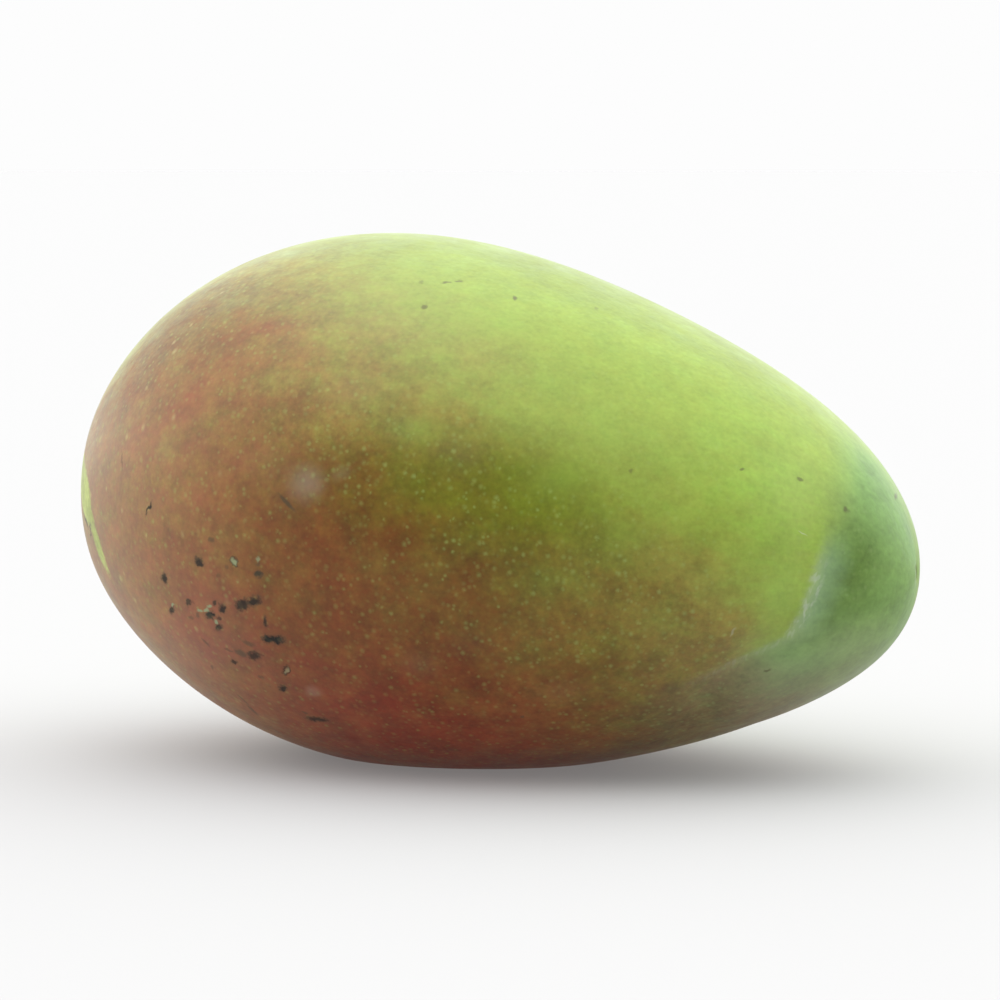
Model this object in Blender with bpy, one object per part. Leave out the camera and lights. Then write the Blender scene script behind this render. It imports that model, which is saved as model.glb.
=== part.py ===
"""Farchi mango: one whole fruit, as picked, lying on its cheek.

The fruit lies along X with its stem end at -X and its apex at +X.  The belly
edge, with the shallow sinus and the blunt beak beside the apex, faces -Y, the
back edge faces +Y, and the two flat cheeks are above and below.  It rests on a
small flat spot of its lower cheek at z = 0, and the origin is on the surface it
lies on, below the middle of the fruit.

The skin is one closed surface.  Every point of it is given by two numbers:
s, from -1 at the stem to +1 at the apex, and the angle phi round the fruit,
0 at the back edge, 90 degrees on the upper cheek, 180 on the belly edge and
270 underneath.
"""
import math

import bmesh
import bpy
import numpy as np

# ---- driving dimensions, in metres unless they say otherwise ----------------
LENGTH = 0.1294            # stem end to apex, along X
HALF_THICKNESS = 0.0395    # cheek to cheek / 2, at mid length
WIDTH_RATIO = 1.085        # belly-to-back width over cheek-to-cheek thickness
STEM_FULLNESS = 0.0092     # how much thicker the stem half is than the apex half
WAIST = 0.0022             # how much both ends are drawn in
END_ROUNDING = 0.0056      # pulls the taper back at the two ends, so they are blunt
CHEEK_FLATNESS = 0.010     # share by which cheeks and edges are flattened

AXIS_TILT = 0.0054         # the axis falls by this from mid length to the apex
AXIS_CURL = 0.0014         # and eases off again close to the ends
AXIS_DROOP = 0.0025        # both ends hang below the middle by this
BELLY_LEAN = 0.0022        # the apex leans towards the belly edge
BELLY_BOW = 0.0024         # both ends bow towards the belly edge

REST_SINK = 0.0023         # depth of the flat spot below the rounded cheek

SINUS_S = 0.85             # where the sinus crosses the belly edge
SINUS_SWEEP = 0.30         # how far it sweeps back under the fruit
SINUS_SWEEP_AT = 245.0     # degrees
SINUS_SWEEP_SPREAD = 38.0  # degrees
SINUS_DEPTH = 0.0010
SINUS_HALF_WIDTH = 0.060   # in s
SINUS_MIDDLE = 196.0       # degrees
SINUS_REACH = 48.0         # degrees to either side

BEAK_HEIGHT = 0.0006       # swelling of the beak, between the sinus and the apex
BEAK_S = 0.945
BEAK_AT = 185.0            # degrees
BEAK_SPREAD = 60.0         # degrees
BEAK_HALF_WIDTH = 0.075    # in s

BASIN_DEPTH = 0.0022       # hollow round the stem
BASIN_RADIUS = 0.0085
STUB_HEIGHT = 0.0016       # stalk cut off close to the fruit
STUB_RADIUS = 0.0030
STUB_FOOT = 0.0038
NAVEL_DEPTH = 0.0004       # pit where the flower's style dried off at the apex
NAVEL_RADIUS = 0.0012

UNEVENNESS = 0.00018       # slow natural swelling and sinking of the skin

RINGS = 58                 # from the stem to the apex
SIDES = 52                 # round the fruit


def bump(value, middle, spread):
    return np.exp(-(((value - middle) / spread) ** 2))


def around(phi_deg, middle, spread):
    """A bump round the fruit, which repeats every full turn."""
    away = (phi_deg - middle + 180.0) % 360.0 - 180.0
    return np.exp(-((away / spread) ** 2))


def smooth_step(low, high, value):
    t = np.clip((value - low) / (high - low), 0.0, 1.0)
    return t * t * (3.0 - 2.0 * t)


def sinus_line(phi_deg):
    """s of the sinus at this angle: close to the apex on the belly edge, swept back below."""
    return SINUS_S - SINUS_SWEEP * around(phi_deg, SINUS_SWEEP_AT, SINUS_SWEEP_SPREAD)


def skin(s, phi):
    """Points of the skin, before the flat spot is cut and the fruit is set on z = 0."""
    phi_deg = np.degrees(phi)
    ring = np.sqrt(np.clip(1.0 - s * s, 0.0, 1.0))
    half = HALF_THICKNESS - STEM_FULLNESS * s - WAIST * s**2 + END_ROUNDING * s**3
    lumps = UNEVENNESS * (
        np.sin(2.0 * phi + 3.0 * s + 1.0)
        + 0.6 * np.sin(3.0 * phi - 4.0 * s - 2.0)
        + 0.5 * np.sin(phi + 6.5 * s + 0.5)
    )
    groove = (
        SINUS_DEPTH
        * bump(s, sinus_line(phi_deg), SINUS_HALF_WIDTH)
        * around(phi_deg, SINUS_MIDDLE, SINUS_REACH)
    )
    beak = (
        BEAK_HEIGHT
        * bump(s, BEAK_S, BEAK_HALF_WIDTH)
        * around(phi_deg, BEAK_AT, BEAK_SPREAD)
    )
    square = 1.0 - CHEEK_FLATNESS * np.cos(4.0 * phi)
    reach = ring * (half * square + lumps)
    # Sinus and beak move the skin along its normal, which leans to +X near the apex.
    rise = beak - groove
    lean = np.clip(s, 0.0, 1.0) ** 3
    out = rise * np.sqrt(np.clip(1.0 - lean * lean, 0.0, 1.0)) * np.sqrt(ring)

    y = WIDTH_RATIO * reach * np.cos(phi) + out * np.cos(phi)
    z = reach * np.sin(phi) + out * np.sin(phi)
    from_pole = np.hypot(y, z)

    x = 0.5 * LENGTH * s + rise * lean
    stem_end = s < 0.0
    x = x + np.where(stem_end, BASIN_DEPTH * bump(from_pole, 0.0, BASIN_RADIUS), 0.0)
    x = x - np.where(
        stem_end, STUB_HEIGHT * (1.0 - smooth_step(STUB_RADIUS, STUB_FOOT, from_pole)), 0.0
    )
    x = x - np.where(stem_end, 0.0, NAVEL_DEPTH * bump(from_pole, 0.0, NAVEL_RADIUS))

    y = y - BELLY_LEAN * s - BELLY_BOW * s**2
    z = z - AXIS_TILT * s + AXIS_CURL * s**3 - AXIS_DROOP * s**4
    return x, y, z


def lowest_point():
    """Height of the lowest point of the uncut skin."""
    s = np.linspace(-0.8, 0.6, 281)[:, None]
    phi = np.radians(np.linspace(240.0, 300.0, 121))[None, :]
    return float(skin(s, phi)[2].min())


def build_fruit():
    """The whole skin as rings of quads and two end fans, cut level below."""
    # Rings crowd towards the stem end, where the stub and its hollow are small.
    along = math.pi * (np.arange(1, RINGS) / RINGS) ** 1.3
    phi = 2.0 * math.pi * np.arange(SIDES) / SIDES
    s_ring = -np.cos(along)
    x, y, z = skin(s_ring[:, None], phi[None, :])
    rise = -lowest_point() - REST_SINK

    bm = bmesh.new()
    rows = [
        [bm.verts.new((x[i, j], y[i, j], z[i, j] + rise)) for j in range(SIDES)]
        for i in range(RINGS - 1)
    ]
    ends = []
    for s_end in (-1.0, 1.0):
        ex, ey, ez = (float(v) for v in skin(np.float64(s_end), np.float64(0.0)))
        ends.append(bm.verts.new((ex, ey, ez + rise)))
    for j in range(SIDES):
        k = (j + 1) % SIDES
        bm.faces.new((ends[0], rows[0][j], rows[0][k]))
        for i in range(RINGS - 2):
            bm.faces.new((rows[i][j], rows[i + 1][j], rows[i + 1][k], rows[i][k]))
        bm.faces.new((ends[1], rows[-1][k], rows[-1][j]))

    # The flat spot: cut level at z = 0 and close the cut with one flat face.
    bmesh.ops.bisect_plane(
        bm,
        geom=bm.verts[:] + bm.edges[:] + bm.faces[:],
        dist=1e-6,
        plane_co=(0.0, 0.0, 0.0),
        plane_no=(0.0, 0.0, 1.0),
        clear_inner=True,
    )
    bmesh.ops.remove_doubles(bm, verts=bm.verts[:], dist=2e-5)
    rim = [e for e in bm.edges if e.is_boundary]
    bmesh.ops.contextual_create(bm, geom=rim)
    bmesh.ops.triangulate(bm, faces=bm.faces[:])
    bmesh.ops.recalc_face_normals(bm, faces=bm.faces[:])

    # The origin is below the middle of the fruit's box.
    xs = [v.co.x for v in bm.verts]
    ys = [v.co.y for v in bm.verts]
    middle = (0.5 * (min(xs) + max(xs)), 0.5 * (min(ys) + max(ys)))
    for v in bm.verts:
        v.co.x -= middle[0]
        v.co.y -= middle[1]
        if abs(v.co.z) < 1e-6:
            v.co.z = 0.0

    mesh = bpy.data.meshes.new("mango")
    bm.to_mesh(mesh)
    bm.free()
    mesh.shade_smooth()
    mesh.set_sharp_from_angle(angle=math.radians(35.0))
    return mesh


def skin_material():
    mat = bpy.data.materials.new("mango_skin")
    mat.use_nodes = True
    shader = mat.node_tree.nodes["Principled BSDF"]
    shader.inputs["Base Color"].default_value = (0.27, 0.24, 0.06, 1.0)
    shader.inputs["Roughness"].default_value = 0.45
    shader.inputs["Metallic"].default_value = 0.0
    return mat


def main():
    for old in list(bpy.data.objects):
        bpy.data.objects.remove(old, do_unlink=True)
    fruit = bpy.data.objects.new("mango", build_fruit())
    fruit.data.materials.append(skin_material())
    bpy.context.scene.collection.objects.link(fruit)


main()
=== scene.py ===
import math

import bpy
import numpy as np
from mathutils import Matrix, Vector


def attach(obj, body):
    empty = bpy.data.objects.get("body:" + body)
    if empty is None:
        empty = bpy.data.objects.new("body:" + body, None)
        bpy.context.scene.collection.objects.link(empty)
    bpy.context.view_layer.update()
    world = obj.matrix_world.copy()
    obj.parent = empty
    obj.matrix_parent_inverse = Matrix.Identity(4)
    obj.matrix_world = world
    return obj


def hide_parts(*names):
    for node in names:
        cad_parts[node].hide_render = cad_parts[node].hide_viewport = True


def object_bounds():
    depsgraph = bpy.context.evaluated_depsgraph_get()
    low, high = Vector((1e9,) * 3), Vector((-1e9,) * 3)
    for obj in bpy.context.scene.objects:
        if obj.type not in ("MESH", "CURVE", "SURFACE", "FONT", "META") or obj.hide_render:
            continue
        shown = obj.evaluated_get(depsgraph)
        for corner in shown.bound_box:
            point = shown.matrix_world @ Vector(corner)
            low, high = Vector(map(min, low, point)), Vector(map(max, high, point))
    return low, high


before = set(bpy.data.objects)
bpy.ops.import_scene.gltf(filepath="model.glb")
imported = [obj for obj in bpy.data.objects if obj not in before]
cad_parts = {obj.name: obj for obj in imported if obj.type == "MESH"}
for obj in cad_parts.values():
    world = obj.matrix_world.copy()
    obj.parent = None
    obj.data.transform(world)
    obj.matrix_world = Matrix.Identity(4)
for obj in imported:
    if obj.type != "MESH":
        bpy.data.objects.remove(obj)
cad_low, cad_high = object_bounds()

# The fruit lies along X, stem end at -X, apex at +X, belly edge with sinus and
# beak at -Y.  Every point of the skin has s, from -1 at the stem to +1 at the
# apex, and phi round the fruit: 0 back edge, 90 upper cheek, 180 belly edge,
# 270 underneath.

# ---- shape, in metres unless they say otherwise ------------------------------
LENGTH = 0.1294
HALF_THICKNESS = 0.0395
WIDTH_RATIO = 1.085
STEM_FULLNESS = 0.0092
WAIST = 0.0022
END_ROUNDING = 0.0056
CHEEK_FLATNESS = 0.010
AXIS_TILT = 0.0054
AXIS_CURL = 0.0014
AXIS_DROOP = 0.0025
BELLY_LEAN = 0.0022
BELLY_BOW = 0.0024
REST_SINK = 0.0023
SINUS_S = 0.85
SINUS_SWEEP = 0.30
SINUS_SWEEP_AT = 245.0
SINUS_SWEEP_SPREAD = 38.0
SINUS_DEPTH = 0.0010
SINUS_HALF_WIDTH = 0.060
SINUS_MIDDLE = 196.0
SINUS_REACH = 48.0
BEAK_HEIGHT = 0.0006
BEAK_S = 0.945
BEAK_AT = 185.0
BEAK_SPREAD = 60.0
BEAK_HALF_WIDTH = 0.075
BASIN_DEPTH = 0.0022
BASIN_RADIUS = 0.0085
STUB_HEIGHT = 0.0016
STUB_RADIUS = 0.0030
STUB_FOOT = 0.0038
NAVEL_DEPTH = 0.0004
NAVEL_RADIUS = 0.0012
UNEVENNESS = 0.00018

FLAT_ROLL = 0.00012

RINGS = 240
SIDES = 400


def bump(value, middle, spread):
    return np.exp(-(((value - middle) / spread) ** 2))


def around(phi_deg, middle, spread):
    away = (phi_deg - middle + 180.0) % 360.0 - 180.0
    return np.exp(-((away / spread) ** 2))


def smooth_step(low, high, value):
    t = np.clip((value - low) / (high - low), 0.0, 1.0)
    return t * t * (3.0 - 2.0 * t)


def sinus_line(phi_deg):
    return SINUS_S - SINUS_SWEEP * around(phi_deg, SINUS_SWEEP_AT, SINUS_SWEEP_SPREAD)


def skin(s, phi):
    phi_deg = np.degrees(phi)
    ring = np.sqrt(np.clip(1.0 - s * s, 0.0, 1.0))
    half = HALF_THICKNESS - STEM_FULLNESS * s - WAIST * s**2 + END_ROUNDING * s**3
    lumps = UNEVENNESS * (
        np.sin(2.0 * phi + 3.0 * s + 1.0)
        + 0.6 * np.sin(3.0 * phi - 4.0 * s - 2.0)
        + 0.5 * np.sin(phi + 6.5 * s + 0.5)
    )
    groove = (
        SINUS_DEPTH
        * bump(s, sinus_line(phi_deg), SINUS_HALF_WIDTH)
        * around(phi_deg, SINUS_MIDDLE, SINUS_REACH)
    )
    beak = (
        BEAK_HEIGHT
        * bump(s, BEAK_S, BEAK_HALF_WIDTH)
        * around(phi_deg, BEAK_AT, BEAK_SPREAD)
    )
    square = 1.0 - CHEEK_FLATNESS * np.cos(4.0 * phi)
    reach = ring * (half * square + lumps)
    rise = beak - groove
    lean = np.clip(s, 0.0, 1.0) ** 3
    out = rise * np.sqrt(np.clip(1.0 - lean * lean, 0.0, 1.0)) * np.sqrt(ring)
    y = WIDTH_RATIO * reach * np.cos(phi) + out * np.cos(phi)
    z = reach * np.sin(phi) + out * np.sin(phi)
    from_pole = np.hypot(y, z)
    x = 0.5 * LENGTH * s + rise * lean
    stem_end = s < 0.0
    x = x + np.where(stem_end, BASIN_DEPTH * bump(from_pole, 0.0, BASIN_RADIUS), 0.0)
    x = x - np.where(
        stem_end, STUB_HEIGHT * (1.0 - smooth_step(STUB_RADIUS, STUB_FOOT, from_pole)), 0.0
    )
    x = x - np.where(stem_end, 0.0, NAVEL_DEPTH * bump(from_pole, 0.0, NAVEL_RADIUS))
    y = y - BELLY_LEAN * s - BELLY_BOW * s**2
    z = z - AXIS_TILT * s + AXIS_CURL * s**3 - AXIS_DROOP * s**4
    return x, y, z, from_pole


def on_skin(v, phi_deg):
    """A point of the skin with its directions: along the meridian to the apex,
    round the fruit to greater phi, and outward."""
    def spot(a, b):
        x, y, z, _ = skin(np.array(-math.cos(a)), np.array(b))
        return np.array([float(x), float(y), float(z)]) + SHIFT

    a, b, e = math.pi * v, math.radians(phi_deg), 1e-3
    point = spot(a, b)
    along = spot(a + e, b) - spot(a - e, b)
    along /= np.linalg.norm(along)
    turn = spot(a, b + e) - spot(a, b - e)
    turn -= along * float(turn @ along)
    turn /= np.linalg.norm(turn)
    out = np.cross(along, turn)
    if out @ (point - np.array([0.0, 0.0, 0.038])) < 0.0:
        turn, out = turn, -out
    return point, along, turn, out


def grid_shape():
    v = np.arange(1, RINGS) / RINGS
    t = math.pi * (v - 0.10 / (2 * math.pi) * np.sin(2 * math.pi * v))
    t = np.concatenate([[0.0], t, [math.pi]])
    phi = np.radians(270.0) + 2.0 * math.pi * np.arange(SIDES) / SIDES
    tt, pp = np.meshgrid(t, phi, indexing="ij")
    x, y, z, pole = skin(-np.cos(tt), pp)
    fine_s = np.linspace(-0.8, 0.6, 281)[:, None]
    fine_p = np.radians(np.linspace(240.0, 300.0, 121))[None, :]
    drop = -skin(fine_s, fine_p)[2].min() - REST_SINK
    z = z + drop
    # the flat spot: the skin meets it in a tight, slightly rolled edge
    z = 0.5 * (z + np.sqrt(z * z + 4 * FLAT_ROLL * FLAT_ROLL))
    lift = -z.min()
    dx = -0.5 * (x.min() + x.max()) + 0.5 * (cad_low.x + cad_high.x)
    dy = -0.5 * (y.min() + y.max()) + 0.5 * (cad_low.y + cad_high.y)
    return tt, pp, x + dx, y + dy, z + lift, pole, np.array([dx, dy, drop + lift])


T, P, X, Y, Z, POLE, SHIFT = grid_shape()
V = T / math.pi
PHI = np.degrees(P) % 360.0
STEP = np.sqrt(np.diff(X, axis=0) ** 2 + np.diff(Y, axis=0) ** 2 + np.diff(Z, axis=0) ** 2)
ARC = np.concatenate([np.zeros((1, SIDES)), np.cumsum(STEP, axis=0)])


def build_fruit():
    """The skin as one closed mesh: a pole at each end and rings between."""
    def rows(a):
        return np.concatenate([[a[0, 0]], a[1:-1].ravel(), [a[-1, 0]]])

    co = np.stack([rows(X), rows(Y), rows(Z)], 1)
    last = len(co) - 1
    arc = ARC.mean(1)
    arc = 0.004 + 0.992 * arc / arc[-1]
    us = 0.004 + 0.992 * np.arange(SIDES + 1) / SIDES
    faces, uvs = [], []

    def vid(i, j):
        return 1 + (i - 1) * SIDES + j % SIDES

    for j in range(SIDES):
        faces.append((0, vid(1, j), vid(1, j + 1)))
        uvs += [(0.5 * (us[j] + us[j + 1]), arc[0]), (us[j], arc[1]), (us[j + 1], arc[1])]
    for i in range(1, RINGS - 1):
        for j in range(SIDES):
            faces.append((vid(i, j), vid(i + 1, j), vid(i + 1, j + 1), vid(i, j + 1)))
            uvs += [(us[j], arc[i]), (us[j], arc[i + 1]), (us[j + 1], arc[i + 1]), (us[j + 1], arc[i])]
    for j in range(SIDES):
        faces.append((last, vid(RINGS - 1, j + 1), vid(RINGS - 1, j)))
        uvs += [(0.5 * (us[j] + us[j + 1]), arc[-1]), (us[j + 1], arc[-2]), (us[j], arc[-2])]
    mesh = bpy.data.meshes.new("mango_skin")
    mesh.from_pydata([tuple(c) for c in co], [], faces)
    layer = mesh.uv_layers.new(name="OFBake")
    layer.uv.foreach_set("vector", np.array(uvs, np.float32).ravel())
    mesh.shade_smooth()
    mesh.update()
    for name, field in skin_fields().items():
        if isinstance(field, tuple):
            layer = mesh.attributes.new(name, "FLOAT_VECTOR", "POINT")
            data = np.stack([rows(f) for f in field], 1)
            layer.data.foreach_set("vector", data.astype(np.float32).ravel())
        else:
            layer = mesh.attributes.new(name, "FLOAT", "POINT")
            layer.data.foreach_set("value", rows(field).astype(np.float32))
    return mesh


# ---- where the skin takes which colour ------------------------------------------
def logistic(value):
    return 1.0 / (1.0 + np.exp(-value))


def skin_fields():
    v, phi = V, PHI
    # red pigment: over the whole stem-end shoulder, with a step along the belly side
    # and deepest low down in the middle
    low = smooth_step(178.0, 236.0, phi) * (1.0 - logistic((phi - 306.0) / 12.0))
    under = 314.0 + 9.0 * np.sin(7.0 * v + 0.5) + 5.0 * np.sin(17.0 * v + 2.0) * (1.0 - v)
    under = 1.0 - logistic((phi - under) / 9.5)
    ragged = (7.0 * np.sin(34.0 * v + 1.0) + 4.0 * np.sin(71.0 * v)) * (1.0 - smooth_step(0.14, 0.24, v))
    shoulder = (
        0.58
        * smooth_step(0.0, 0.17, v)
        * (1.0 - 0.92 * smooth_step(0.30, 0.64, v))
        * logistic(
            (phi - 118.0 - ragged - 26.0 * smooth_step(0.32, 0.56, v) - 12.0 * (1.0 - smooth_step(0.20, 0.30, v)))
            / 9.5
        )
    )
    step = (
        0.24
        * logistic((phi - 175.0) / 2.8)
        * smooth_step(0.35, 0.43, v)
        * (1.0 - smooth_step(0.66 + 0.05 * smooth_step(184.0, 200.0, phi), 0.78 + 0.04 * smooth_step(184.0, 200.0, phi), v))
    )
    belly = 0.62 * bump(v, 0.52, 0.135) * low
    patch = 0.20 * bump(v, 0.345, 0.055) * bump(phi, 206.0, 18.0)
    patch = patch + 0.16 * bump(v, 0.435, 0.065) * bump(phi, 174.0, 15.0)
    patch = patch + 0.10 * bump(v, 0.50, 0.07) * bump(phi, 196.0, 16.0)
    patch = patch + 0.05 * bump(v, 0.46, 0.06) * bump(phi, 150.0, 12.0)
    patch = patch + 0.08 * bump(v, 0.71, 0.045) * bump(phi, 195.0, 26.0)
    crown = 0.05 * (1.0 - smooth_step(0.30, 0.50, v)) * smooth_step(0.03, 0.20, v)
    tail = 0.16 * bump(v, 0.77, 0.07) * smooth_step(220.0, 238.0, phi)
    blush = crown + (shoulder + step + belly + patch + tail) * under
    red, dark, wax = blotches()
    blush = np.maximum(blush + red, 0.0)

    # ground colour: paler to the stem, with painted light lifting the underside near the floor; duller on the far
    # side, painted shade on the upper shoulder and top edge, in a dark oval and a drab green band on the belly
    # side; brightest just short of the sinus, partly painted light on the bulge there
    light = (1.0 - smooth_step(0.25, 0.39, v)) * smooth_step(138.0, 165.0, phi) * under
    # painted light: the underside near the stem end lifted where the fruit shades itself by the floor
    light = light + 0.8 * bump(v, 0.38, 0.10) * bump(phi, 256.0, 15.0)
    # painted shade darkening the upper shoulder and the top edge; the far side is a duller green of its own
    dull_and_shade = 0.9 * bump(v, 0.28, 0.09) * bump(phi, 126.0, 18.0)
    round_back = (phi + 90.0) % 360.0 - 90.0
    far = 0.75 * (1.0 - smooth_step(90.0, 124.0, round_back)) * smooth_step(-86.0, -36.0, round_back)
    dull_and_shade = np.maximum(dull_and_shade, far * (1.0 - 0.4 * smooth_step(0.7, 0.8, v)))
    dull_and_shade = np.maximum(dull_and_shade, 0.8 * bump(v, 0.41, 0.09) * bump(phi, 102.0, 12.0))
    dull_and_shade = np.maximum(dull_and_shade, 0.5 * bump(v, 0.21, 0.06) * bump(phi, 143.0, 14.0))
    # partly painted light: the lit bulge just short of the sinus
    bright = bump(v, 0.775, 0.075) * around(phi, 158.0, 26.0)
    # painted shade: a dark oval on the belly side, where it faces away from the light
    oval = np.hypot((v - 0.555 - 0.0012 * (phi - 205.0)) / 0.185, (phi - 207.0) / 50.0)
    deep = 0.55 * (1.0 - smooth_step(0.80, 1.08, oval))
    deep = deep * (1.0 - 1.0 * smooth_step(200.0, 222.0, phi) * (1.0 - smooth_step(0.54, 0.64, v)))
    deep = deep + 0.20 * bump(v, 0.54, 0.06) * bump(phi, 192.0, 12.0)
    # painted shade low on the belly, next to the floor
    deep = deep + 0.70 * bump(v, 0.685, 0.045) * smooth_step(214.0, 230.0, phi) * under
    # painted shade: a dark drab green band on the upper belly side, its sharp upper edge where the lit top gives
    # way
    edge = 154.0 + 16.0 * smooth_step(0.50, 0.40, v) + 14.0 * smooth_step(0.60, 0.69, v)
    olive_shade = 0.88 * logistic((phi - edge) / 3.0) * bump(v, 0.545, 0.105) * bump(phi, 169.0, 19.0)

    deep = np.clip(deep + 0.8 * dark, 0.0, 1.0)

    # signed distance, in millimetres, beyond the sinus line toward the apex
    line = 0.862 - 0.02 * around(phi, 100.0, 25.0) - 0.300 * around(phi, 246.0, 32.0)
    line = line - 0.009 * smooth_step(165.0, 190.0, phi) * (1.0 - smooth_step(230.0, 262.0, phi))
    line = line - 0.006 * smooth_step(150.0, 172.0, phi) * (1.0 - smooth_step(194.0, 212.0, phi))
    line = line - 0.150 * smooth_step(207.0, 221.0, phi) * (1.0 - smooth_step(225.0, 262.0, phi))
    line_t = np.arccos(-line[0])
    arc_line = np.array([np.interp(line_t[j], T[:, j], ARC[:, j]) for j in range(SIDES)])
    sinus = (ARC - arc_line[None, :]) * 1000.0
    sinus = sinus / (1.0 + 3.0 * smooth_step(203.0, 228.0, phi) * (1.0 - smooth_step(296.0, 340.0, phi)))
    # the tip lobe's darker core: partly its own deeper blue-green, partly painted shade where it faces away from
    # the light
    core = bump(v, 0.864, 0.032) * around(phi, 175.0, 31.0)
    soften = 1.0 - smooth_step(140.0, 176.0, phi) * (1.0 - smooth_step(198.0, 216.0, phi))
    soften = soften + 1.2 * smooth_step(-95.0, -50.0, round_back) * (1.0 - smooth_step(64.0, 112.0, round_back))
    keel = smooth_step(196.0, 226.0, phi) * under * (1.0 - smooth_step(0.84, 0.95, v))
    scuff = smooth_step(166.0, 188.0, phi) * (1.0 - 0.65 * smooth_step(202.0, 210.0, phi))
    scuff = scuff * (1.0 - smooth_step(211.0, 222.0, phi))
    glow = smooth_step(152.0, 178.0, phi) * (1.0 - smooth_step(200.0, 220.0, phi))

    # distance, in millimetres, inside the edge of the unripened patch beside the stem
    unripe = np.full_like(X, -20.0)
    at = np.stack([X, Y, Z], -1)
    for v0, phi0, length, width, turn in UNRIPE:
        point, along, turned, out = on_skin(v0, phi0)
        c, s = math.cos(math.radians(turn)), math.sin(math.radians(turn))
        a = along * c + turned * s
        gap = (at - point) * 2000.0
        d = np.sqrt((gap @ a / length) ** 2 + (gap @ np.cross(out, a) / width) ** 2 + (gap @ out / 16.0) ** 2)
        unripe = np.maximum(unripe, (1.0 - d) * 0.5 * width)
    ripened = 1.0 - 0.6 * (1.0 - smooth_step(0.06, 0.13, v))

    # waxy whitening, partly a painted sheen over the stem end and upper shoulder
    bloom_and_sheen = 0.21 * (1.0 - smooth_step(0.15, 0.41, v)) * smooth_step(132.0, 165.0, phi) * under
    bloom_and_sheen = bloom_and_sheen + 0.11 * bump(v, 0.45, 0.10) * bump(phi, 132.0, 17.0)
    bloom_and_sheen = bloom_and_sheen + 0.08 * bump(v, 0.795, 0.045) * around(phi, 152.0, 24.0)
    bloom_and_sheen = bloom_and_sheen + 0.11 * smooth_step(0.69, 0.78, v) * keel
    bloom_and_sheen = bloom_and_sheen + 0.04 * bump(v, 0.71, 0.045) * bump(phi, 210.0, 14.0)
    bloom_and_sheen = bloom_and_sheen + 0.045 * bump(v, 0.365, 0.09) * bump(phi, 160.0, 22.0)
    bloom_and_sheen = np.maximum(bloom_and_sheen + 0.045 * bump(v, 0.37, 0.10) * bump(phi, 214.0, 20.0) + 0.022 * bump(v, 0.67, 0.06) * bump(phi, 219.0, 12.0) + wax, 0.0)

    stem_mm = np.where(v < 0.5, POLE * 1000.0, 50.0)
    apex_mm = np.where(v > 0.5, POLE * 1000.0, 50.0)
    r = 0.035
    flow = (ARC, r * np.cos(P), r * np.sin(P))
    return {
        "blush": blush, "light": light, "dull_and_shade": dull_and_shade, "bright": bright, "deep": deep,
        "olive_shade": olive_shade, "sinus": sinus, "core": core, "keel": keel, "bloom_and_sheen": bloom_and_sheen,
        "scuff": scuff, "glow": glow, "unripe": unripe, "ripened": ripened, "soften": soften, "v_along": v, "stem_mm": stem_mm, "apex_mm": apex_mm, "flow": flow,
    }


# ---- the patch left green beside the stem: v, phi, length mm, width mm, turn deg ------
UNRIPE = [(0.142, 179.0, 11.0, 6.4, 56), (0.180, 198.0, 9.0, 2.8, 58), (0.160, 189.5, 4.5, 2.6, 60),
          (0.104, 166.0, 11.0, 6.5, 20), (0.062, 150.0, 9.0, 7.0, 0)]


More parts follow.
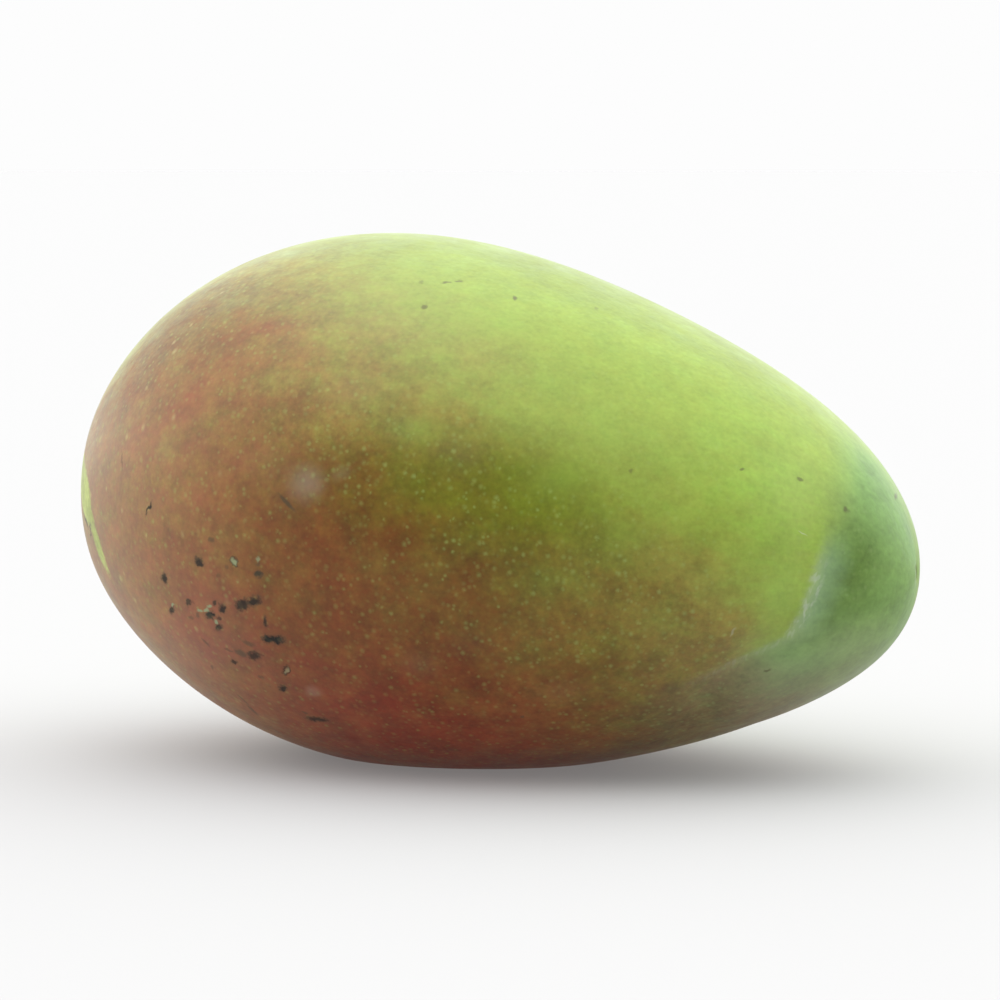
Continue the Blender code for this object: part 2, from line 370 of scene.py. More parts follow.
# ---- soft blotches of the blush: v, phi, length mm, width mm, turn deg, and how much
# red, dark and waxy each adds ------------------------------------------------------
BLOTCHES = [
    (0.330, 214, 26.0, 18.0, 0, 0.035, 0.0, 0.008), (0.520, 214, 30.0, 12.0, 0, 0.045, 0.08, 0.0),
    (0.620, 208, 16.0, 10.0, 0, 0.04, 0.08, 0.0), (0.600, 252, 24.0, 10.0, 0, 0.08, 0.15, 0.01),
    (0.500, 171, 26.0, 10.0, 0, 0.0, 0.26, 0.0), (0.550, 184, 14.0, 8.0, 0, 0.03, 0.08, 0.0),
    (0.770, 232, 12.0, 8.0, 0, -0.10, 0.0, 0.03),
    (0.790, 188, 6.0, 5.0, 0, -0.06, 0.0, 0.02), (0.775, 197, 7.0, 6.0, 0, -0.09, -0.05, 0.02),
    (0.775, 216, 8.0, 6.0, 0, -0.08, 0.0, 0.0),
    (0.540, 178, 18.0, 14.0, 0, 0.03, 0.12, 0.0), (0.716, 191, 10.0, 8.0, 0, -0.08, 0.0, 0.0),
    (0.380, 254, 20.0, 8.0, 0, 0.06, 0.0, 0.0), (0.345, 172, 22.0, 20.0, 0, 0.015, 0.0, 0.015),
    (0.350, 129, 12.0, 6.0, 0, -0.05, 0.0, 0.02), (0.535, 161, 7.0, 5.0, 0, 0.04, -0.06, 0.03),
    (0.498, 173, 6.0, 4.0, 0, 0.0, 0.10, 0.0), (0.565, 188, 12.0, 9.0, 0, 0.05, 0.08, 0.0),
    (0.655, 177, 9.0, 6.0, 0, -0.07, -0.20, 0.0), (0.755, 210, 8.0, 6.0, 0, -0.12, -0.05, 0.03),
    (0.515, 216, 16.0, 9.0, 0, 0.0, 0.35, 0.0), (0.630, 205, 14.0, 8.0, 0, 0.0, 0.25, 0.0),
    (0.600, 250, 20.0, 10.0, 0, 0.0, 0.40, 0.02), (0.360, 108, 26.0, 9.0, 0, 0.0, 0.28, 0.05),
    (0.540, 138, 16.0, 8.0, 0, 0.045, 0.0, 0.01), (0.430, 163, 12.0, 8.0, 0, 0.0, 0.15, 0.0),
    (0.420, 174, 8.0, 6.0, 0, -0.06, 0.0, 0.02), (0.335, 202, 8.0, 5.0, 0, 0.03, 0.20, 0.0),
    (0.495, 171, 9.0, 7.0, 0, -0.07, -0.10, 0.0), (0.532, 153, 10.0, 3.5, 8, 0.09, 0.0, 0.0),
    (0.474, 167, 5.0, 7.0, 0, 0.18, 0.08, 0.0), (0.493, 180, 7.0, 4.5, 10, 0.14, 0.08, 0.0),
    (0.560, 161, 9.0, 6.0, 0, 0.03, 0.08, 0.0), (0.601, 164, 7.0, 4.0, -20, -0.06, -0.12, 0.01),
    (0.596, 186, 7.5, 5.0, 0, -0.16, -0.10, 0.0), (0.652, 167, 9.0, 2.6, 25, 0.06, 0.20, 0.0),
    (0.706, 179, 8.0, 4.5, 30, -0.02, 0.02, 0.0), (0.540, 202, 6.0, 4.0, 0, 0.08, 0.18, 0.02),
    (0.479, 217, 8.0, 5.0, 0, 0.12, 0.0, 0.0), (0.505, 207, 5.0, 4.0, 0, -0.05, 0.0, 0.035),
    (0.682, 198, 6.0, 4.5, 0, -0.10, -0.10, 0.0), (0.364, 139, 13.0, 4.0, -8, 0.15, 0.0, 0.0),
    (0.303, 156, 12.0, 4.0, -14, 0.13, 0.0, 0.0), (0.333, 129, 8.0, 2.6, -6, -0.08, -0.05, 0.03),
    (0.298, 166, 4.5, 4.0, 0, -0.22, -0.10, 0.0), (0.457, 151, 8.0, 6.0, 0, -0.05, -0.05, 0.03),
    (0.399, 168, 8.0, 6.0, 0, 0.07, 0.0, 0.035), (0.425, 184, 7.0, 5.0, 0, -0.06, 0.0, 0.0),
    (0.500, 158, 7.0, 4.0, 0, -0.12, 0.0, 0.03), (0.350, 209, 7.0, 5.0, 0, 0.06, 0.0, 0.02),
    (0.353, 177, 7.0, 4.5, 0, 0.10, 0.0, 0.0), (0.456, 198, 9.0, 4.0, 6, 0.05, 0.04, 0.0),
    (0.552, 192, 6.0, 3.5, 0, 0.08, 0.10, 0.0), (0.520, 216, 7.0, 3.5, -10, -0.14, 0.0, 0.0),
    (0.599, 215, 7.0, 3.5, 0, -0.04, 0.0, 0.02), (0.660, 181, 8.0, 5.0, 12, -0.06, 0.0, 0.0),
    (0.620, 197, 8.0, 5.5, 0, 0.06, 0.08, 0.0), (0.400, 150, 7.0, 4.0, -10, -0.10, 0.0, 0.0),
    (0.24, 84, 16.0, 9.0, -20, 0.07, 0.10, 0.0), (0.20, 40, 15.0, 10.0, 20, 0.05, 0.12, 0.02),
    (0.38, 52, 20.0, 8.0, 5, -0.02, 0.10, 0.0), (0.52, 30, 26.0, 10.0, -8, 0.0, -0.10, 0.02),
    (0.66, 62, 18.0, 8.0, 12, 0.03, 0.08, 0.0), (0.30, 345, 22.0, 12.0, 0, 0.12, 0.05, 0.02),
    (0.58, 342, 20.0, 9.0, 10, 0.02, 0.14, 0.0), (0.74, 15, 14.0, 8.0, -15, 0.03, -0.08, 0.02),
    (0.345, 200, 14.0, 9.0, 0, 0.10, 0.0, 0.02), (0.300, 218, 14.0, 8.0, 0, 0.0, 0.0, 0.035),
]


def blotches():
    """Sums of soft round patches on the skin, in the three strengths of BLOTCHES."""
    at = np.stack([X, Y, Z], -1)
    red, dark, wax = np.zeros_like(X), np.zeros_like(X), np.zeros_like(X)
    for v, phi, length, width, turn, r, k, w in BLOTCHES:
        point, along, turned, out = on_skin(v, phi)
        c, s = math.cos(math.radians(turn)), math.sin(math.radians(turn))
        a = along * c + turned * s
        b = np.cross(out, a)
        gap = (at - point) * 2000.0
        d2 = (gap @ a / length) ** 2 + (gap @ b / width) ** 2 + (gap @ out / 16.0) ** 2
        soft = np.exp(-0.9 * d2)
        red, dark, wax = red + r * soft, dark + k * soft, wax + w * soft
    return red, dark, wax


# ---- marks on the skin: v, phi, length mm, width mm, turn deg, strength ----------
DARK = [
    (0.335, 191.0, 1.3, 1.2, -10, 0.95), (0.294, 197.6, 1.5, 1.1, -72, 0.95),
    (0.297, 205.9, 1.3, 1.1, -17, 0.95), (0.319, 201.8, 1.5, 0.98, -58, 0.85),
    (0.391, 191.0, 1.3, 0.85, -26, 0.9), (0.347, 199.8, 0.9, 0.73, -11, 0.8),
    (0.354, 200.7, 1.4, 1.2, -12, 0.9), (0.341, 203.2, 1.9, 1.2, -21, 1.0),
    (0.347, 205.7, 1.4, 1.1, -16, 0.9), (0.349, 203.2, 0.77, 0.61, -16, 0.6),
    (0.374, 198.4, 3.0, 1.6, -24, 0.95), (0.384, 197.2, 2.8, 1.2, -24, 0.95),
    (0.392, 201.2, 1.4, 0.61, -86, 0.75), (0.393, 205.2, 2.4, 1.3, -15, 1.0),
    (0.400, 204.9, 2.4, 1.2, -15, 1.0), (0.376, 210.4, 2.6, 1.2, -20, 0.85),
    (0.394, 218.0, 1.4, 1.1, -14, 0.9), (0.413, 226.0, 3.1, 1.2, -7, 0.85),
    (0.279, 180.5, 2.2, 0.44, -62, 0.9), (0.354, 214.0, 0.9, 0.8, 0, 0.75),
]
DIM = [
    (0.390, 188.6, 0.84, 0.6, -12, 0.5), (0.362, 190.6, 0.72, 0.6, -12, 0.4),
    (0.354, 193.3, 0.72, 0.6, -12, 0.4), (0.319, 205.7, 1.1, 0.6, -19, 0.5),
    (0.327, 204.3, 1.1, 0.6, -19, 0.5), (0.373, 207.5, 2.2, 0.96, 15, 0.6),
    (0.363, 210.8, 2.3, 0.96, -4, 0.7), (0.329, 211.3, 1.9, 0.42, 22, 0.5),
    (0.352, 211.1, 2, 0.42, 0, 0.5), (0.377, 216.2, 1.2, 0.72, 7, 0.45),
    (0.328, 218.7, 0.72, 0.6, -26, 0.5), (0.353, 230.6, 2.2, 0.96, 38, 0.6),
    (0.405, 224.3, 1.1, 0.6, 18, 0.6), (0.349, 227.2, 3.2, 0.48, 49, 0.45),
    (0.349, 185.4, 1.1, 0.72, -11, 0.6), (0.415, 175.3, 3.0, 0.6, 31, 0.75),
    (0.237, 167.6, 2.4, 0.48, -89, 0.4), (0.495, 118.7, 1.4, 0.6, -21, 0.55),
    (0.503, 117.2, 1.1, 0.6, -21, 0.55), (0.479, 120.4, 0.72, 0.96, -27, 0.35),
    (0.489, 128.2, 0.96, 0.72, -62, 0.6), (0.545, 117.9, 0.6, 0.96, -32, 0.65),
    (0.598, 110.2, 0.6, 0.72, -42, 0.35), (0.740, 147.8, 0.72, 0.6, -20, 0.6),
    (0.793, 142.4, 0.96, 0.6, 5, 0.6), (0.900, 92.0, 2.6, 0.72, 70, 0.55),
    (0.654, 157.1, 0.6, 0.6, -13, 0.4), (0.761, 220.7, 1.1, 0.48, -22, 0.6),
    (0.847, 145.6, 1.1, 0.7, -9, 0.6), (0.200, 268.0, 1.8, 1.0, 10, 0.6), (0.075, 62.0, 1.4, 0.8, 20, 0.5),
    (0.088, 305.0, 1.2, 0.8, -30, 0.6), (0.115, 18.0, 1.0, 0.7, 0, 0.5), (0.070, 232.0, 1.9, 0.6, 15, 0.55), (0.143, 191.5, 2.6, 0.8, 62, 0.9), (0.160, 194.5, 2.8, 0.8, 80, 0.8),
    (0.300, 60.0, 1.4, 0.7, 30, 0.5), (0.412, 38.0, 1.0, 0.8, 0, 0.6), (0.428, 36.0, 0.7, 0.6, 20, 0.5),
    (0.560, 72.0, 0.9, 0.6, -30, 0.5), (0.640, 20.0, 1.2, 0.7, 60, 0.5), (0.700, 48.0, 0.8, 0.7, 0, 0.6),
    (0.470, 340.0, 1.1, 0.8, 10, 0.6), (0.350, 12.0, 3.2, 0.35, 65, 0.5), (0.530, 8.0, 0.8, 0.7, 0, 0.5),
    (0.780, 350.0, 1.3, 0.8, -15, 0.6), (0.240, 322.0, 1.5, 0.9, 35, 0.6), (0.600, 318.0, 2.6, 0.4, -50, 0.5),
    (0.568, 222.3, 0.6, 0.6, 8, 0.6), (0.679, 218.7, 2.2, 1.9, 16, 0.35),
]
PALE = [
    (0.299, 204.3, 0.69, 0.55, -19, 0.9), (0.330, 202.9, 1.1, 0.55, -17, 0.8),
    (0.337, 202.2, 1.3, 0.55, -17, 0.8), (0.341, 201.0, 0.92, 0.55, -16, 0.85),
    (0.345, 204.5, 0.57, 0.55, -16, 0.8), (0.370, 189.2, 0.86, 0.77, -13, 0.85),
    (0.402, 212.4, 1.5, 0.55, -44, 0.45), (0.390, 187.6, 0.69, 0.66, -12, 0.6),
]
RINGED = [(0.370, 189.2, 1.3, 1.2, -13, 0.8), (0.402, 212.4, 2.3, 1.2, -44, 0.75)]
# whitish spots on the belly side; the largest is a painted soft highlight
WHITISH_HIGHLIGHT = [
    (0.430, 171.0, 4.6, 4.0, -6, 0.32), (0.455, 168.3, 2.6, 1.6, -20, 0.10),
    (0.419, 217.1, 2.4, 1.8, -15, 0.22),
]
HAIRS = [
    (0.803, 163.6, 1.1, 0.18, 15, 0.4),
    (0.736, 202.1, 1.5, 0.4, -61, 0.25),
]


# the chart that the marks are drawn on faces the belly side: across, upright, outward
ACROSS = np.array([0.951, 0.309, 0.0])
UPRIGHT = np.array([-0.0296, 0.0912, 0.9954])
TOWARD = np.array([0.3076, -0.9466, 0.0959])


# ---- a small helper that wires shader nodes ---------------------------------------
class Graph:
    def __init__(self, tree):
        self.nodes, self.links = tree.nodes, tree.links

    def put(self, socket, value):
        if isinstance(value, bpy.types.NodeSocket):
            self.links.new(value, socket)
        elif isinstance(value, (tuple, list)) and len(value) == 3 and socket.type == "RGBA":
            socket.default_value = (*value, 1.0)
        else:
            socket.default_value = value

    def math(self, op, a, b=None, c=None, clamp=False):
        n = self.nodes.new("ShaderNodeMath")
        n.operation, n.use_clamp = op, clamp
        for socket, value in zip(n.inputs, (a, b, c)):
            if value is not None:
                self.put(socket, value)
        return n.outputs[0]

    def vec(self, op, a, b=None, scale=None):
        n = self.nodes.new("ShaderNodeVectorMath")
        n.operation = op
        self.put(n.inputs[0], a)
        if b is not None:
            self.put(n.inputs[1], b)
        if scale is not None:
            self.put(n.inputs["Scale"], scale)
        return n.outputs["Value" if op in ("LENGTH", "DOT_PRODUCT", "DISTANCE") else "Vector"]

    def span(self, value, low, high, to_low=0.0, to_high=1.0, smooth=True):
        n = self.nodes.new("ShaderNodeMapRange")
        n.interpolation_type = "SMOOTHSTEP" if smooth else "LINEAR"
        for name, v in (("Value", value), ("From Min", low), ("From Max", high),
                        ("To Min", to_low), ("To Max", to_high)):
            self.put(n.inputs[name], v)
        return n.outputs["Result"]

    def mix(self, fac, a, b):
        n = self.nodes.new("ShaderNodeMix")
        n.data_type, n.clamp_factor = "RGBA", True
        self.put(n.inputs[0], fac)
        self.put(n.inputs[6], a)
        self.put(n.inputs[7], b)
        return n.outputs[2]

    def noise(self, vector, scale, detail=2.0, rough=0.5, distortion=0.0, colour=False):
        n = self.nodes.new("ShaderNodeTexNoise")
        self.put(n.inputs["Vector"], vector)
        for name, v in (("Scale", scale), ("Detail", detail), ("Roughness", rough),
                        ("Distortion", distortion)):
            n.inputs[name].default_value = v
        return n.outputs["Color" if colour else "Fac"]

    def cells(self, vector, scale):
        n = self.nodes.new("ShaderNodeTexVoronoi")
        self.put(n.inputs["Vector"], vector)
        n.inputs["Scale"].default_value = scale
        return n.outputs["Distance"], n.outputs["Color"]

    def attribute(self, name, vector=False):
        n = self.nodes.new("ShaderNodeAttribute")
        n.attribute_type, n.attribute_name = "GEOMETRY", name
        return n.outputs["Vector" if vector else "Fac"]

    def stretch(self, vector, factors):
        return self.vec("MULTIPLY", vector, factors)

    def split(self, colour):
        n = self.nodes.new("ShaderNodeSeparateColor")
        self.put(n.inputs[0], colour)
        return n.outputs

    def join(self, r, g, b):
        n = self.nodes.new("ShaderNodeCombineColor")
        for socket, value in zip(n.inputs, (r, g, b)):
            self.put(socket, value)
        return n.outputs[0]

    def spots(self, charts, marks, soft, wobble=None, inner=None):
        """The strongest of several ellipses laid on the skin, each fading at its edge."""
        classes = {}
        for v, phi, length, width, turn, strength in marks:
            point, along, turned, _ = on_skin(v, phi)
            c, s = math.cos(math.radians(turn)), math.sin(math.radians(turn))
            a = along * c + turned * s
            lean = math.degrees(math.atan2(float(a @ UPRIGHT), float(a @ ACROSS)))
            key = int(round(lean / 22.5)) % 8
            chart, (right, up) = charts[key]
            # a mark lies on skin that turns away: it looks shorter on the chart
            short = max(0.35, math.hypot(float(a @ right), float(a @ up)))
            across = np.cross(np.cross(a, along if abs(float(a @ along)) < 0.9 else turned), a)
            across /= np.linalg.norm(across)
            thin = max(0.35, math.hypot(float(across @ right), float(across @ up)))
            deep = length * abs(float(a @ TOWARD)) + width * abs(float(across @ TOWARD)) + 1.8
            scale = 2000.0 / np.array([length * short, width * thin, deep])
            centre = np.array([float(point @ right), float(point @ up), float(point @ TOWARD)])
            n = self.nodes.new("ShaderNodeVectorMath")
            n.operation = "MULTIPLY_ADD"
            self.put(n.inputs[0], chart)
            n.inputs[1].default_value = tuple(scale)
            n.inputs[2].default_value = tuple(-centre * scale)
            d = self.vec("LENGTH", n.outputs["Vector"])
            near = classes.get(round(strength, 1))
            classes[round(strength, 1)] = d if near is None else self.math("MINIMUM", near, d)
        total = None
        for strength, near in classes.items():
            if wobble is not None:
                near = self.math("ADD", near, wobble)
            value = self.span(near, 1.0 + soft, 1.0 - soft, 0.0, strength)
            if inner is not None:
                value = self.math("MULTIPLY", value, self.span(near, inner - 0.3, inner + 0.15))
            total = value if total is None else self.math("MAXIMUM", total, value)
            nearest = near if total is value else self.math("MINIMUM", nearest, near)
        return total, nearest

    def charts(self, place):
        """Flat charts of the upright belly side, each turned by an eighth of a half turn."""
        made = {}
        depth = self.vec("DOT_PRODUCT", place, tuple(TOWARD))
        for key in range(8):
            angle = math.radians(22.5 * key)
            right = ACROSS * math.cos(angle) + UPRIGHT * math.sin(angle)
            up = UPRIGHT * math.cos(angle) - ACROSS * math.sin(angle)
            n = self.nodes.new("ShaderNodeCombineXYZ")
            self.put(n.inputs[0], self.vec("DOT_PRODUCT", place, tuple(right)))
            self.put(n.inputs[1], self.vec("DOT_PRODUCT", place, tuple(up)))
            self.put(n.inputs[2], depth)
            made[key] = (n.outputs[0], (right, up))
        return made


# ---- skin material ------------------------------------------------------------------
LEAF = (0.300, 0.420, 0.066)
# the paler green, also used as painted light under the fruit near the stem end
LIGHT = (0.350, 0.490, 0.076)
# a duller green, also painted shade on the upper shoulder and top edge
DULL_AND_SHADE = (0.200, 0.280, 0.030)
# a bright yellow-green, partly painted light on the bulge before the sinus
BRIGHT = (0.315, 0.510, 0.070)
# the darker green, laid as painted shade on the belly side and in the darker blotches
DEEP = (0.190, 0.284, 0.025)
# drab green, painted as shade in a band on the belly side
OLIVE_SHADE = (0.156, 0.213, 0.010)
TIP_BAND = (0.226, 0.382, 0.088)
TIP_FAR = (0.178, 0.338, 0.080)
# the tip's darker core green, partly painted shade
TIP_CORE = (0.128, 0.240, 0.047)
TIP_KEEL = (0.210, 0.345, 0.110)
# pale waxy whitening, also used as painted sheen
BLOOM_AND_SHEEN = (0.52, 0.50, 0.42)
PORE = (0.46, 0.54, 0.25)
PORE_STEM = (0.56, 0.50, 0.20)
SCAR = (0.022, 0.020, 0.017)
SCAR_DRY = (0.055, 0.048, 0.030)
SCAR_RIM = (0.13, 0.075, 0.040)
SCAR_DIM = (0.085, 0.066, 0.036)
FLECK = (0.32, 0.40, 0.22)
WHITE_WAX = (0.62, 0.66, 0.56)
SINUS_GLOW = (0.42, 0.66, 0.60)
SHADED = (0.455, 0.540, 0.150)
ABSORB = (0.12, 1.90, 1.20)


def skin_material():
    mat = bpy.data.materials.new("mango_skin")
    mat.use_nodes = True
    g = Graph(mat.node_tree)
    bsdf = mat.node_tree.nodes["Principled BSDF"]
    co = g.nodes.new("ShaderNodeTexCoord").outputs["Object"]
    flow = g.attribute("flow", vector=True)

    # mottling, from broad clouds to fine streaks that follow the meridians
    clouds = g.noise(g.stretch(flow, (0.75, 1.0, 1.0)), 62.0, 1.0, 0.5)
    patches = g.noise(g.stretch(flow, (0.72, 1.0, 1.0)), 250.0, 4.0, 0.78)
    streaks = g.noise(g.stretch(flow, (0.20, 1.0, 1.0)), 800.0, 1.0, 0.5)
    grain = g.noise(co, 210.0, 4.0, 0.72)
    fine = g.noise(co, 800.0, 1.0, 0.6)
    crumble = g.noise(co, 2300.0, 1.0, 0.6)
    peel = g.noise(co, 1250.0, 1.0, 0.6)

    def centred(value, amount):
        return g.math("MULTIPLY", g.math("SUBTRACT", value, 0.5), amount)

    # ground colour, with the painted light and shade that the skin fields carry
    def field(name, amount):
        return g.math("MULTIPLY", g.attribute(name), g.math("ADD", 1.0, centred(clouds, amount)), clamp=True)

    sinus = g.math("ADD", g.attribute("sinus"), centred(patches, 2.0))
    soften = g.attribute("soften")
    tip_part = g.span(soften, 1.0, 2.2, 1.0, 0.55)
    tip = g.span(sinus, g.math("MULTIPLY_ADD", soften, -2.6, -0.9), g.math("MULTIPLY_ADD", soften, 2.6, 1.5))
    tip = g.math("MULTIPLY", tip, tip_part)
    ground = g.mix(field("light", 0.6), LEAF, LIGHT)
    ground = g.mix(field("dull_and_shade", 1.2), ground, DULL_AND_SHADE)
    ground = g.mix(field("bright", 0.4), ground, BRIGHT)
    ground = g.mix(field("deep", 0.9), ground, DEEP)
    ground = g.mix(field("olive_shade", 1.2), ground, OLIVE_SHADE)
    tip_ground = g.mix(g.span(sinus, 1.0, 6.0), TIP_BAND, TIP_FAR)
    tip_ground = g.mix(field("core", 0.5), tip_ground, TIP_CORE)
    tip_ground = g.mix(field("keel", 0.5), tip_ground, TIP_KEEL)
    ground = g.mix(tip, ground, tip_ground)
    ground_light = g.mix(tip, BRIGHT, tip_ground)

    # red pigment laid over the ground
    vary = g.math("ADD", centred(clouds, 0.38), centred(patches, 1.50))
    vary = g.math("ADD", vary, centred(streaks, 0.10))
    vary = g.math("MULTIPLY", vary, g.span(g.attribute("blush"), 0.4, 0.9, 1.0, 0.62))
    density = g.math("MULTIPLY", g.attribute("blush"), g.math("ADD", vary, 1.0))
    density = g.math("ADD", density, g.math("MULTIPLY", centred(patches, 0.16), g.math("SUBTRACT", 1.0, tip)))
    density = g.math("MAXIMUM", density, -0.06)
    passed = g.join(*[g.math("EXPONENT", g.math("MULTIPLY", density, -k)) for k in ABSORB])
    colour = g.vec("MULTIPLY", ground, passed)

    # fine light and dark grain
    rough_tone = g.math("MAXIMUM", g.span(density, 0.0, 0.4, 0.60, 1.25), g.math("MULTIPLY", tip, 1.0))
    tone = g.math("ADD", 1.0, g.math("MULTIPLY", centred(grain, 1.0), rough_tone))
    tone = g.math("ADD", tone, centred(streaks, 0.07))
    shown = g.math("ADD", g.math("ADD", density, g.attribute("deep")), g.math("MULTIPLY", g.attribute("core"), 0.4))
    shown = g.span(shown, 0.0, 0.5, 0.52, 1.0)
    shown = g.math("MULTIPLY", shown, g.span(density, 0.30, 0.85, 1.0, 0.68))
    tone = g.math("ADD", tone, g.math("MULTIPLY", centred(peel, 0.46), shown))
    colour = g.vec("SCALE", colour, scale=tone)

    # waxy whitening, partly a painted sheen
    bloom_and_sheen = g.math("MULTIPLY", g.attribute("bloom_and_sheen"), g.math("ADD", 1.0, centred(patches, 1.2)))
    colour = g.mix(bloom_and_sheen, colour, BLOOM_AND_SHEEN)

    # pores: many fine ones, and larger yellow ones round the stem end
    spread = g.vec("ADD", co, g.join(centred(crumble, 0.00025), centred(peel, 0.0004), centred(crumble, -0.00025)))
    cell = 0.00104
    d, tint = g.cells(spread, 1.0 / cell)
    tint = g.split(tint)
    radius = g.span(tint[0], 0.0, 1.0, 0.00024 / cell, 0.00048 / cell, smooth=False)
    pore = g.span(g.math("DIVIDE", d, radius), 1.3, -0.1)
    pore = g.math("MULTIPLY", pore, g.span(tint[1], 0.0, 1.0, 0.05, 0.42, smooth=False))
    pore = g.math("MULTIPLY", pore, shown)
    pore_colour = g.mix(0.42, ground_light, PORE)
    colour = g.mix(pore, colour, pore_colour)
    cell = 0.0031
    d, tint = g.cells(g.stretch(spread, (1.0, 1.0, 0.8)), 1.0 / cell)
    tint = g.split(tint)
    radius = g.span(tint[0], 0.0, 1.0, 0.00024 / cell, 0.00060 / cell, smooth=False)
    big = g.span(g.math("DIVIDE", d, radius), 1.3, 0.0)
    place_v = g.attribute("v_along")
    big = g.math("MULTIPLY", big, g.span(place_v, 0.46, 0.24, 0.0, 0.46))
    colour = g.mix(big, colour, PORE_STEM)

    # the unripened green patch beside the stem
    patch = g.math("ADD", g.attribute("unripe"), centred(patches, 2.6))
    patch = g.span(g.math("ADD", patch, centred(crumble, 0.6)), -0.40, 0.50)
    patch = g.math("MULTIPLY", patch, g.attribute("ripened"))
    colour = g.mix(g.math("MULTIPLY", patch, 0.90), colour, g.vec("SCALE", SHADED, scale=tone))

    # marks, with uneven edges
    shake = g.join(centred(fine, 0.0009), centred(grain, 0.0009), centred(fine, -0.0009))
    charts = g.charts(g.vec("ADD", co, shake))
    wobble = centred(crumble, 1.1)
    # painted soft highlight and faint whitish spots
    whitish_highlight, _ = g.spots(charts, WHITISH_HIGHLIGHT, 0.95)
    colour = g.mix(whitish_highlight, colour, (0.46, 0.40, 0.31))
    dim, _ = g.spots(charts, DIM, 0.55, centred(crumble, 0.6))
    colour = g.mix(dim, colour, SCAR_DIM)
    dark, near = g.spots(charts, DARK, 0.48, wobble)
    halo = g.span(near, 1.9, 1.0, 0.0, 0.32)
    colour = g.mix(halo, colour, SCAR_RIM)
    ringed, _ = g.spots(charts, RINGED, 0.35, wobble, inner=0.62)
    dark = g.math("MAXIMUM", dark, ringed)
    colour = g.mix(dark, colour, g.mix(g.span(fine, 0.45, 0.62), SCAR, SCAR_DRY))
    pale, _ = g.spots(charts, PALE, 0.60, wobble)
    colour = g.mix(pale, colour, FLECK)
    hairs, _ = g.spots(charts, HAIRS, 0.50)
    colour = g.mix(hairs, colour, WHITE_WAX)

    # wax whitened along the sinus, in a soft band with short strokes in it
    along = g.vec("DOT_PRODUCT", co, tuple(0.40 * ACROSS + 0.92 * UPRIGHT))
    across = g.vec("DOT_PRODUCT", co, tuple(0.92 * ACROSS - 0.40 * UPRIGHT))
    strokes = g.noise(g.join(g.math("MULTIPLY", along, 0.42), across, 0.0), 1700.0, 1.0, 0.6)
    scuff = g.attribute("scuff")
    band = g.math("MULTIPLY", g.span(sinus, -1.0, 0.1), g.span(sinus, 2.0, 0.4))
    band = g.math("MULTIPLY", band, scuff)
    haze = g.math("MULTIPLY", g.span(sinus, -1.5, 0.6), g.span(sinus, 6.0, 1.0))
    haze = g.math("MULTIPLY", haze, g.attribute("glow"))
    colour = g.mix(g.math("MULTIPLY", haze, 0.17), colour, SINUS_GLOW)
    scratch = g.math("MULTIPLY", band, g.span(strokes, 0.46, 0.66, 0.08, 0.40))
    colour = g.mix(scratch, colour, WHITE_WAX)

    # the woody stub at the stem and the point of the apex
    stem_mm = g.attribute("stem_mm")
    stub = g.span(g.math("ADD", stem_mm, centred(crumble, 1.4)), 4.1, 3.3)
    bark = g.mix(g.span(crumble, 0.35, 0.65), (0.15, 0.095, 0.052), (0.34, 0.245, 0.14))
    bark = g.mix(g.span(stem_mm, 2.3, 3.3, 0.0, 0.65), bark, (0.075, 0.048, 0.028))
    bark = g.mix(g.span(stem_mm, 1.3, 0.7, 0.0, 0.6), bark, (0.10, 0.066, 0.038))
    colour = g.mix(stub, colour, bark)
    apex = g.span(g.attribute("apex_mm"), 1.5, 0.5)
    colour = g.mix(g.math("MULTIPLY", apex, 0.8), colour, (0.075, 0.06, 0.03))
    g.put(bsdf.inputs["Base Color"], colour)

    # satin skin: duller on pores, scars and the stem stub
    gloss = g.math("ADD", 0.42, centred(patches, 0.3))
    gloss = g.math("ADD", gloss, centred(grain, 0.10))
    gloss = g.math("ADD", gloss, g.math("MULTIPLY", g.math("MAXIMUM", dark, stub), 0.28))
    gloss = g.math("ADD", gloss, g.math("MULTIPLY", pore, 0.10), clamp=True)
    g.put(bsdf.inputs["Roughness"], gloss)
    bsdf.inputs["IOR"].default_value = 1.33

    # relief in millimetres: fine peel
    height = centred(fine, 0.035)
    lump = g.nodes.new("ShaderNodeBump")
    lump.inputs["Strength"].default_value = 1.0
    lump.inputs["Distance"].default_value = 0.001
    g.put(lump.inputs["Height"], height)
    g.put(bsdf.inputs["Normal"], lump.outputs["Normal"])
    return mat


mesh = build_fruit()
fruit = bpy.data.objects.new("mango_fruit", mesh)
bpy.context.scene.collection.objects.link(fruit)
mesh.materials.append(skin_material())
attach(fruit, "root")
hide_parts("mango")

# ---- floor ----------------------------------------------------------------------------
floor_mesh = bpy.data.meshes.new("floor")
R = 6.0
ring = [(R * math.cos(2 * math.pi * k / 96), R * math.sin(2 * math.pi * k / 96), 0.0) for k in range(96)]
floor_mesh.from_pydata(ring, [], [tuple(range(96))])
floor = bpy.data.objects.new("floor", floor_mesh)
bpy.context.scene.collection.objects.link(floor)
floor_mat = bpy.data.materials.new("floor")
floor_mat.use_nodes = True
g = Graph(floor_mat.node_tree)
g.nodes.clear()
f_out = g.nodes.new("ShaderNodeOutputMaterial")
f_diffuse = g.nodes.new("ShaderNodeBsdfDiffuse")
f_diffuse.inputs["Color"].default_value = (0.42, 0.42, 0.42, 1)
f_glow = g.nodes.new("ShaderNodeEmission")
f_glow.inputs["Strength"].default_value = 0.16
f_add = g.nodes.new("ShaderNodeAddShader")
g.put(f_add.inputs[0], f_diffuse.outputs[0])
g.put(f_add.inputs[1], f_glow.outputs[0])
g.put(f_out.inputs["Surface"], f_add.outputs[0])
floor_mesh.materials.append(floor_mat)

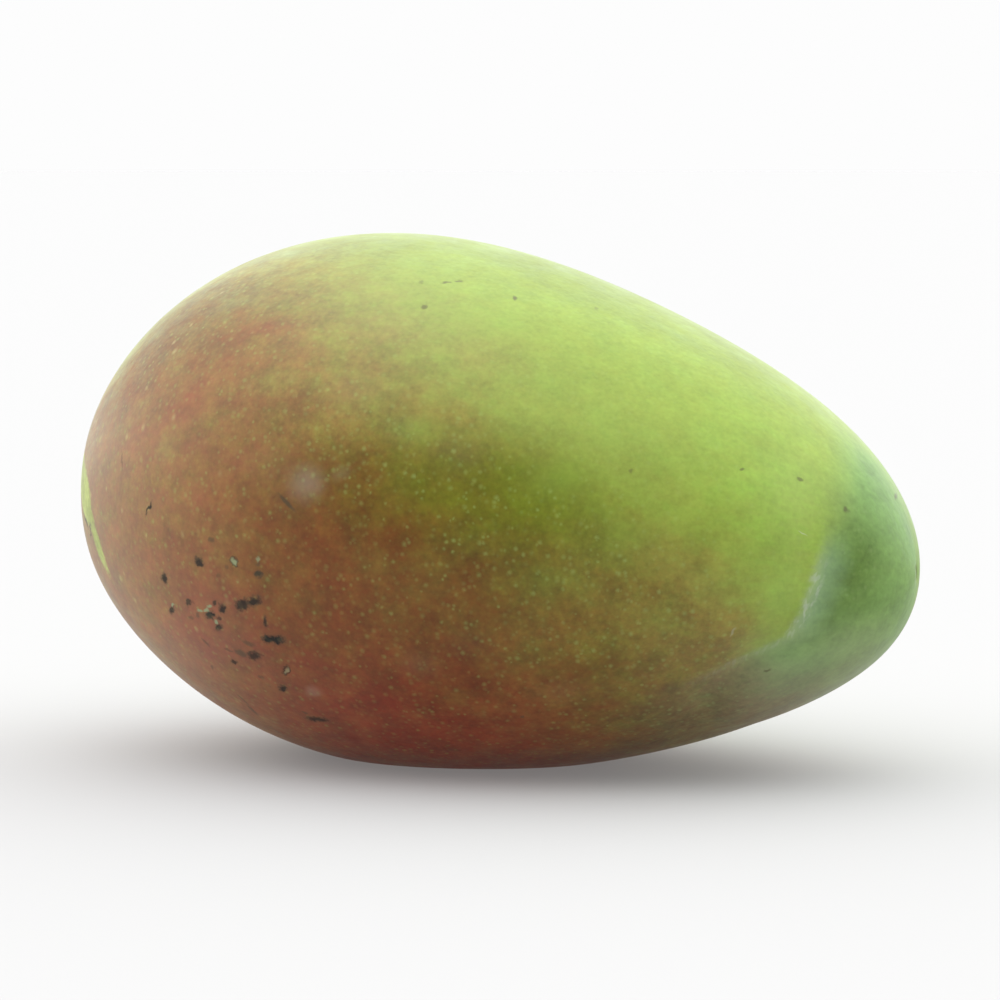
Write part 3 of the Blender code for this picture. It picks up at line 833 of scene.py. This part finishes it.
# ---- studio light: a bright soft tent above and behind, dark toward the camera ---------
world = bpy.data.worlds.new("studio")
bpy.context.scene.world = world
world.use_nodes = True
g = Graph(world.node_tree)
g.nodes.clear()
w_out = g.nodes.new("ShaderNodeOutputWorld")
w_mix = g.nodes.new("ShaderNodeMixShader")
w_seen = g.nodes.new("ShaderNodeBackground")
w_light = g.nodes.new("ShaderNodeBackground")
w_path = g.nodes.new("ShaderNodeLightPath")
w_seen.inputs["Color"].default_value = (1, 1, 1, 1)
w_seen.inputs["Strength"].default_value = 0.982
w_light.inputs["Color"].default_value = (1, 1, 1, 1)
aim = g.vec("DOT_PRODUCT", g.nodes.new("ShaderNodeTexCoord").outputs["Generated"], (-0.18, 0.60, 0.78))
g.put(w_light.inputs["Strength"], g.span(aim, -0.35, 0.55, 0.03, 2.05))
g.put(w_mix.inputs["Fac"], w_path.outputs["Is Camera Ray"])
g.put(w_mix.inputs[1], w_light.outputs[0])
g.put(w_mix.inputs[2], w_seen.outputs[0])
g.put(w_out.inputs["Surface"], w_mix.outputs[0])

sun = bpy.data.lights.new("overhead", "SUN")
sun.energy = 0.8
sun.angle = math.radians(120)
sun_ob = bpy.data.objects.new("overhead", sun)
bpy.context.scene.collection.objects.link(sun_ob)
sun_ob.rotation_mode = "QUATERNION"
sun_ob.rotation_quaternion = Vector((0.05, -0.3, -1.0)).to_track_quat("-Z", "Y")

# ---- camera ---------------------------------------------------------------------------
AZ, EL, DIST = math.radians(18.0), math.radians(5.5), 0.6
cam = bpy.data.cameras.new("camera")
cam.sensor_width = 36.0
cam.lens = 144.95
cam.clip_start, cam.clip_end = 0.05, 50.0
cam_ob = bpy.data.objects.new("camera", cam)
bpy.context.scene.collection.objects.link(cam_ob)
back = Vector((math.sin(AZ) * math.cos(EL), -math.cos(AZ) * math.cos(EL), math.sin(EL)))
cam_ob.location = Vector((0.00005, 0.0, 0.03833)) + back * DIST
cam_ob.rotation_mode = "QUATERNION"
cam_ob.rotation_quaternion = (-back).to_track_quat("-Z", "Y")
scene = bpy.context.scene
scene.camera = cam_ob
scene.view_settings.view_transform = "Standard"
scene.view_settings.look = "None"
scene.view_settings.exposure = 0.0
scene.view_settings.gamma = 1.0
scene.cycles.use_denoising = True
